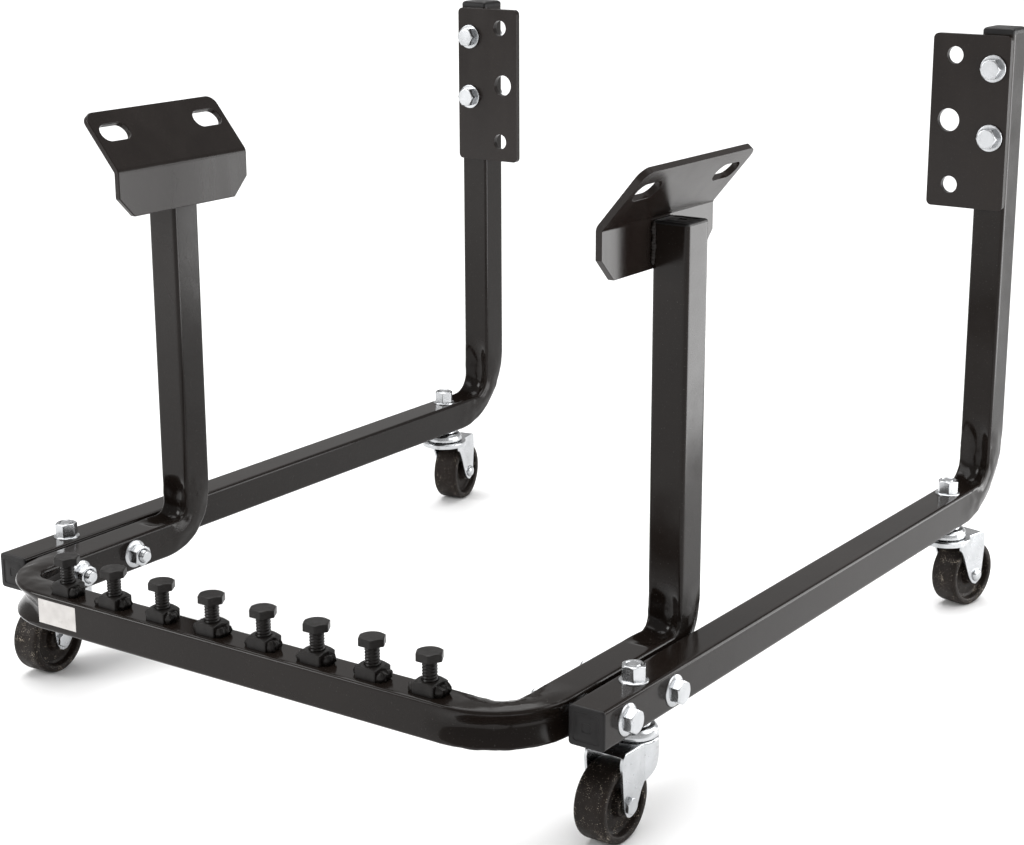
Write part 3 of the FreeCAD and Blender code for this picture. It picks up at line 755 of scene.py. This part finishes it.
def plates():
    for side in ("left", "right"):
        copy_node(side + "_bell_plate_shell", side + "_bell_plate", 0.7, "satin_black_paint", "frame")
        copy_node(side + "_mount_plate_shell", side + "_mount_plate", 0.8, "satin_black_paint", "frame")


def square_plug(steps):
    """Plug cap standing on z = 0, from (half width, height) steps."""
    arc_points = 7
    size = 4 * arc_points
    verts = []
    for half, z in steps:
        corner = min(TUBE_CORNER, half * 0.5)
        for quarter in range(4):
            cx = (half - corner) * (1 if quarter in (0, 3) else -1)
            cy = (half - corner) * (1 if quarter in (0, 1) else -1)
            for i in range(arc_points):
                a = math.pi / 2 * (quarter + i / (arc_points - 1))
                verts.append(Vector((cx + corner * math.cos(a), cy + corner * math.sin(a), z)))
    return verts, rings_to_faces(len(steps), size) + end_faces(len(steps), size)


def plug(name, node, steps, matrix):
    solid = Solid().add(*square_plug(steps), matrix)
    piece(name, solid, "black_plastic", "frame", node)


def plugs():
    for side in ("left", "right"):
        low, high = box_mm(side + "_rail_end_plug")
        face = Vector(((low.x + high.x) / 2, low.y + FLAT_CAP_T, (low.z + high.z) / 2))
        plug(side + "_rail_end_cap", side + "_rail_end_plug", FLAT_CAP, upright(face, -Y))
        for post, steps, thickness in (("rear_post", CROWN_CAP, CROWN_T),
                                       ("front_post", FLAT_CAP, FLAT_CAP_T)):
            node = "%s_%s_plug" % (side, post)
            low, high = box_mm(node)
            top = move((low.x + high.x) / 2, (low.y + high.y) / 2, high.z - thickness)
            plug("%s_%s_cap" % (side, post), node, steps, top)


# ---------------------------------------------------------------- hardware

def hexagon_head():
    return wrench_solid(BOLT_AF, BOLT_HEAD_T, BOLT_CHAMFER, 0.93)


def shank():
    return thread(SHANK_R, 0, SHANK_LENGTH, 1.5, 0.45)


def flange_bolt_head(solid, base, outward):
    matrix = upright(base, outward)
    solid.add(*lathe([(max(r * FLANGE_R, 0.01), z) for r, z in FLANGE], 64), matrix)
    solid.join(hexagon_head(), matrix @ move(0, 0, FLANGE_T - FLANGE_OVERLAP))


def flange_nut(solid, base, outward, flange_r, height):
    matrix = upright(base, outward)
    outline = [(NUT_BORE, 0.0)] + [(r * flange_r, z) for r, z in FLANGE[1:-1]] + [(NUT_BORE, FLANGE_T)]
    solid.add(*lathe(outline, 64, closed=True), matrix)
    nut = wrench_solid(BOLT_AF, height, BOLT_CHAMFER, 0.92, bore=NUT_BORE)
    solid.join(nut, matrix @ move(0, 0, FLANGE_T - FLANGE_OVERLAP))


def flat_ring(radius, thickness, edge):
    """Washer or spacer with its edges rounded."""
    corners = [(WASHER_BORE, 0), (radius, 0), (radius, thickness), (WASHER_BORE, thickness)]
    return lathe(soften(corners, edge, closed=True), 64, closed=True)


def side_bolts():
    bolts = Solid()
    surface = box_mm("right_rail")[1].x
    for middle, low, high in islands("side_bolts"):
        side = side_of(middle)
        flange_bolt_head(bolts, Vector((surface * side, middle.y, middle.z)), X * side)
        end = low.x if side > 0 else high.x
        bolts.add(*shank(), upright(Vector((end, middle.y, middle.z)), X * side))
    piece("side_bolt_set", bolts, "zinc_steel", "frame", "side_bolts")


def side_spacers():
    spacers = Solid()
    for middle, low, _ in islands("side_spacers"):
        spacers.add(*flat_ring(9.5, 3.5, 0.4), upright(Vector((low.x, middle.y, middle.z)), X))
    piece("side_spacer_set", spacers, "zinc_steel", "frame", "side_spacers")


def side_nuts():
    nuts = Solid()
    for middle, low, high in islands("side_nuts"):
        side = side_of(middle)
        surface = high.x if side > 0 else low.x
        flange_nut(nuts, Vector((surface, middle.y, middle.z)), -X * side, FLANGE_R, 8.0)
    piece("side_nut_set", nuts, "zinc_steel", "frame", "side_nuts")


def bell_fasteners():
    washers = Solid()
    for middle, _, high in islands("bell_plate_washers"):
        washers.add(*flat_ring(FLANGE_R, 2.0, 0.5), upright(Vector((middle.x, high.y, middle.z)), -Y))
    piece("bell_washer_set", washers, "zinc_steel", "frame", "bell_plate_washers")
    bolts = Solid()
    face_y = box_mm("bell_plate_washers")[0].y
    for middle, _, high in islands("bell_plate_bolts"):
        bolts.join(hexagon_head(), upright(Vector((middle.x, face_y, middle.z)), -Y))
        bolts.add(*shank(), upright(Vector((middle.x, high.y, middle.z)), -Y))
    piece("bell_bolt_set", bolts, "zinc_steel", "frame", "bell_plate_bolts")
    nuts = Solid()
    for middle, low, _ in islands("bell_plate_nuts"):
        flange_nut(nuts, Vector((middle.x, low.y, middle.z)), Y, 9.7, 7.0)
    piece("bell_nut_set", nuts, "zinc_steel", "frame", "bell_plate_nuts")


def stem_nuts():
    nuts = Solid()
    for middle, low, high in islands("stem_nuts"):
        height = high.z - low.z - (FLANGE_T - FLANGE_OVERLAP)
        flange_nut(nuts, Vector((middle.x, middle.y, low.z)), Z, 9.3, height)
    piece("stem_nut_set", nuts, "zinc_steel", "frame", "stem_nuts")


def bar_nut_beads(solid, x, y, base_z, number):
    """Weld beads at both ends of a bar nut, each a little different."""
    for way in (-1, 1):
        lift = BAR_BEAD_LIFT + 0.5 * math.sin(number * 2.3 + way)
        place_y = y - 0.6 + 0.9 * math.sin(number * 3.1 + way)
        middle = Vector((x + way * BAR_BEAD_OUT, place_y, base_z + lift))
        reach = Y * (BAR_BEAD_HALF + 0.8 * math.sin(number * 1.7 + way))
        solid.add(*bead(middle - reach, middle + reach, BAR_BEAD_R, number + way * 0.4))


def bar_screw(node, x, y, low_z, high_z):
    screw = Solid()
    head_low = high_z - BAR_SCREW_HEAD_T
    screw.join(wrench_solid(BAR_SCREW_AF, BAR_SCREW_HEAD_T, 26, 0.93), move(x, y, head_low))
    screw.add(*thread(BAR_SCREW_R, low_z, head_low + 0.5, 2.0, 0.55), move(x, y, 0))
    piece(node + "_threaded", screw, "black_oxide_steel", node, node)


def bar_hardware():
    nuts = Solid()
    beads = Solid()
    nut_low, nut_high = box_mm("bar_nuts")
    turn = Matrix.Rotation(math.radians(45), 4, "Z")
    for number in range(1, 9):
        node = "bar_screw_%d" % number
        low, high = box_mm(node)
        x, y = (low.x + high.x) / 2, (low.y + high.y) / 2
        nut = wrench_solid(BAR_NUT_AF, nut_high.z - nut_low.z, 25, 0.96, bore=BAR_NUT_BORE, sides=4)
        nuts.join(nut, move(x, y, nut_low.z) @ turn)
        bar_nut_beads(beads, x, y, nut_low.z, number)
        bar_screw(node, x, y, low.z, high.z)
    piece("bar_nut_set", nuts, "black_oxide_steel", "frame", "bar_nuts")
    piece("bar_nut_bead_set", beads, "black_oxide_steel", "frame", "bar_nut_welds", 60)


def mount_welds():
    beads = Solid()
    post_y = centre_mm("right_front_post_plug").y
    for i, (middle, low, high) in enumerate(islands("mount_plate_welds")):
        side = side_of(middle)
        inner_x = low.x if side > 0 else high.x
        x = inner_x + side * 1.4
        y = post_y + (TUBE / 2 + 0.6) * (1 if middle.y > post_y else -1)
        beads.add(*bead(Vector((x, y, low.z)), Vector((x, y, high.z)), MOUNT_BEAD_R, i + 0.5))
    piece("mount_plate_bead_set", beads, "gloss_black_paint", "frame", "mount_plate_welds", 60)


def label():
    copy_node("blank_label_sheet", "blank_label", 0.05, "white_label", "frame", 1)


# ---------------------------------------------------------------- casters

def wheel_mesh():
    """One wheel round Z, its middle at z = 0."""
    right = WHEEL_SIDE + WHEEL_TREAD
    left = tuple((radius, -x) for radius, x in reversed(right[:-1]))
    return lathe(soften(right + left, 0.5, closed=True, steps=2), 96, closed=True)


def caster_stem(prefix, pivot):
    top = box_mm(prefix + "_stem")[1].z
    place = move(pivot.x, pivot.y, 0)
    rod = [(3.6, top), (4.5, top - 0.9), (SHANK_R, top - 1.2), (SHANK_R, 69), (SHANK_R, 55.5)]
    stem = Solid()
    stem.add(*lathe([(p.x, FORK_TOP_Z + p.y) for p in soften(CUP, 0.5)], 64), place)
    stem.add(*lathe(rod, 40), place)
    stem.add(*lathe(soften(STEM_FOOT, 0.4), 40), place)
    piece(prefix + "_stem_and_cup", stem, "zinc_steel", "frame", prefix + "_stem")


def rolled_edges(bm, pivot):
    """Edges round the fork's top plate, away from its pivot, where the sheet turns down."""
    top = max(v.co.z for v in bm.verts)
    axis = Vector((pivot.x, pivot.y))
    for edge in bm.edges:
        outer = all(abs(v.co.z - top) < 2e-5 and (Vector((v.co.x, v.co.y)) / MM - axis).length > 12
                    for v in edge.verts)
        if (outer and len(edge.link_faces) == 2 and edge.calc_face_angle(0) > 0.6
                and min(v.co.z for face in edge.link_faces for v in face.verts) < top - 3 * MM):
            yield edge


def caster_fork(prefix, pivot):
    def round_top(bm):
        bmesh.ops.bevel(bm, geom=list(rolled_edges(bm, pivot)), offset=2.4 * MM, segments=4, profile=0.5,
                        affect="EDGES", clamp_overlap=True)

    body = prefix + "_fork"
    copy_node(body + "_shell", body, 0.45, "zinc_steel", body, 2, 30, round_top)


def caster_axle(prefix, hub, across, riveted):
    heads = Solid()
    for way in (-1, 1):
        matrix = upright(hub + across * FORK_HALF_WIDTH * way, across * way)
        if riveted:
            heads.add(*lathe(soften(AXLE_BUTTON, 0.5), 40), matrix)
        else:
            heads.join(wrench_solid(10.0, AXLE_HEAD_T, 25, 0.93), matrix)
    reach = FORK_HALF_WIDTH + 0.5
    heads.add(*lathe([(AXLE_R, -reach), (AXLE_R, reach)], 32), upright(hub, across))
    piece(prefix + "_axle_and_heads", heads, "zinc_steel", prefix + "_fork", prefix + "_axle")


def casters():
    joints = {joint["name"]: joint for joint in frame["joints"]}
    for name in ("front_left", "front_right", "rear_left", "rear_right"):
        prefix = "caster_" + name
        roll = joints[prefix + "_roll"]
        pivot = Vector(joints[prefix + "_swivel"]["pos_m"]) / MM
        hub = Vector(roll["pos_m"]) / MM
        across = Vector(roll["axis"]).normalized()
        caster_stem(prefix, pivot)
        caster_fork(prefix, pivot)
        caster_axle(prefix, hub, across, riveted=name.startswith("rear"))
        wheel = Solid().add(*wheel_mesh(), upright(hub, across))
        piece(prefix + "_tyre", wheel, "speckled_rubber", prefix + "_wheel", prefix + "_wheel", 30)


# ---------------------------------------------------------------- what stays as the CAD made it

def paint_kept_nodes():
    for name, obj in frame["nodes"].items():
        if name.endswith("_balls") or name.endswith("_bushing"):
            obj.data.materials.clear()
            obj.data.materials.append(MATERIALS["bearing_steel"])


# ---------------------------------------------------------------- studio

def camera():
    data = bpy.data.cameras.new("camera")
    data.lens = LENS
    data.sensor_width = 36.0
    data.clip_end = 100
    obj = bpy.data.objects.new("camera", data)
    yaw, pitch, roll = (math.radians(a) for a in CAMERA_ANGLES)
    forward = Vector((-math.sin(yaw) * math.cos(pitch), math.cos(yaw) * math.cos(pitch), -math.sin(pitch)))
    right = Vector((math.cos(yaw), math.sin(yaw), 0))
    up = right.cross(forward)
    rolled = right * math.cos(roll) + up * math.sin(roll)
    up = rolled.cross(forward)
    turn = Matrix((rolled, up, -forward)).transposed().to_4x4()
    obj.matrix_world = Matrix.Translation(Vector(CAMERA_PLACE) * MM) @ turn
    bpy.context.scene.collection.objects.link(obj)
    bpy.context.scene.camera = obj


def area_light(name, spot, target, size, power):
    """Soft rectangular light, its place, target and size in metres and its power in watts."""
    data = bpy.data.lights.new(name, "AREA")
    data.shape = "RECTANGLE"
    data.size, data.size_y = size
    data.energy = power
    obj = bpy.data.objects.new(name, data)
    aim = (Vector(target) - Vector(spot)).to_track_quat("-Z", "Y")
    obj.matrix_world = Matrix.Translation(Vector(spot)) @ aim.to_matrix().to_4x4()
    bpy.context.scene.collection.objects.link(obj)
    obj.visible_camera = False
    return obj


def sun_light(toward, spread, strength):
    """Distant light that comes from the direction toward, blurred over spread degrees."""
    data = bpy.data.lights.new("soft_sun", "SUN")
    data.angle = math.radians(spread)
    data.energy = strength
    obj = bpy.data.objects.new("soft_sun", data)
    obj.matrix_world = (-Vector(toward)).to_track_quat("-Z", "Y").to_matrix().to_4x4()
    bpy.context.scene.collection.objects.link(obj)


def floor():
    mesh = bpy.data.meshes.new("floor")
    corners = ((-1, -1), (1, -1), (1, 1), (-1, 1))
    mesh.from_pydata([(x * FLOOR_REACH_M, y * FLOOR_REACH_M, 0) for x, y in corners], [], [(0, 1, 2, 3)])
    obj = bpy.data.objects.new("floor", mesh)
    f = Finish("floor_paint", Specular_IOR_Level=0.2)
    f.colour(f.mix(f.steps(f.noise(3, 3), 0, 1), (0.90, 0.90, 0.90), (0.93, 0.93, 0.93)))
    f.rough(f.steps(f.noise(20, 3), 0.75, 0.85))
    mesh.materials.append(f.material)
    bpy.context.scene.collection.objects.link(obj)


def studio_lights():
    world = bpy.data.worlds.new("studio")
    world.use_nodes = True
    bpy.context.scene.world = world
    background = world.node_tree.nodes["Background"]
    background.inputs["Color"].default_value = (1.0, 0.995, 0.99, 1)
    background.inputs["Strength"].default_value = 0.56
    sun_light(toward=(-0.2, 0.2, 1.0), spread=62, strength=3.0)
    card = area_light("right_card", spot=(0.62, 0.66, 0.30), target=(0, 0.66, 0.30),
                      size=(0.72, 0.6), power=8.0)
    card.visible_diffuse = False
    area_light("right_fill", spot=(0.80, 0.05, 0.45), target=(0.42, 0.10, 0), size=(0.5, 0.5), power=2.5)
    area_light("left_front_panel", spot=(-1.4, -1.5, 0.9), target=(-0.8, -0.9, 0), size=(1.0, 0.8), power=22)
    bpy.context.scene.view_settings.view_transform = "Standard"


tubes()
plates()
plugs()
side_bolts()
side_spacers()
side_nuts()
bell_fasteners()
stem_nuts()
bar_hardware()
mount_welds()
label()
casters()
paint_kept_nodes()
camera()
floor()
studio_lights()
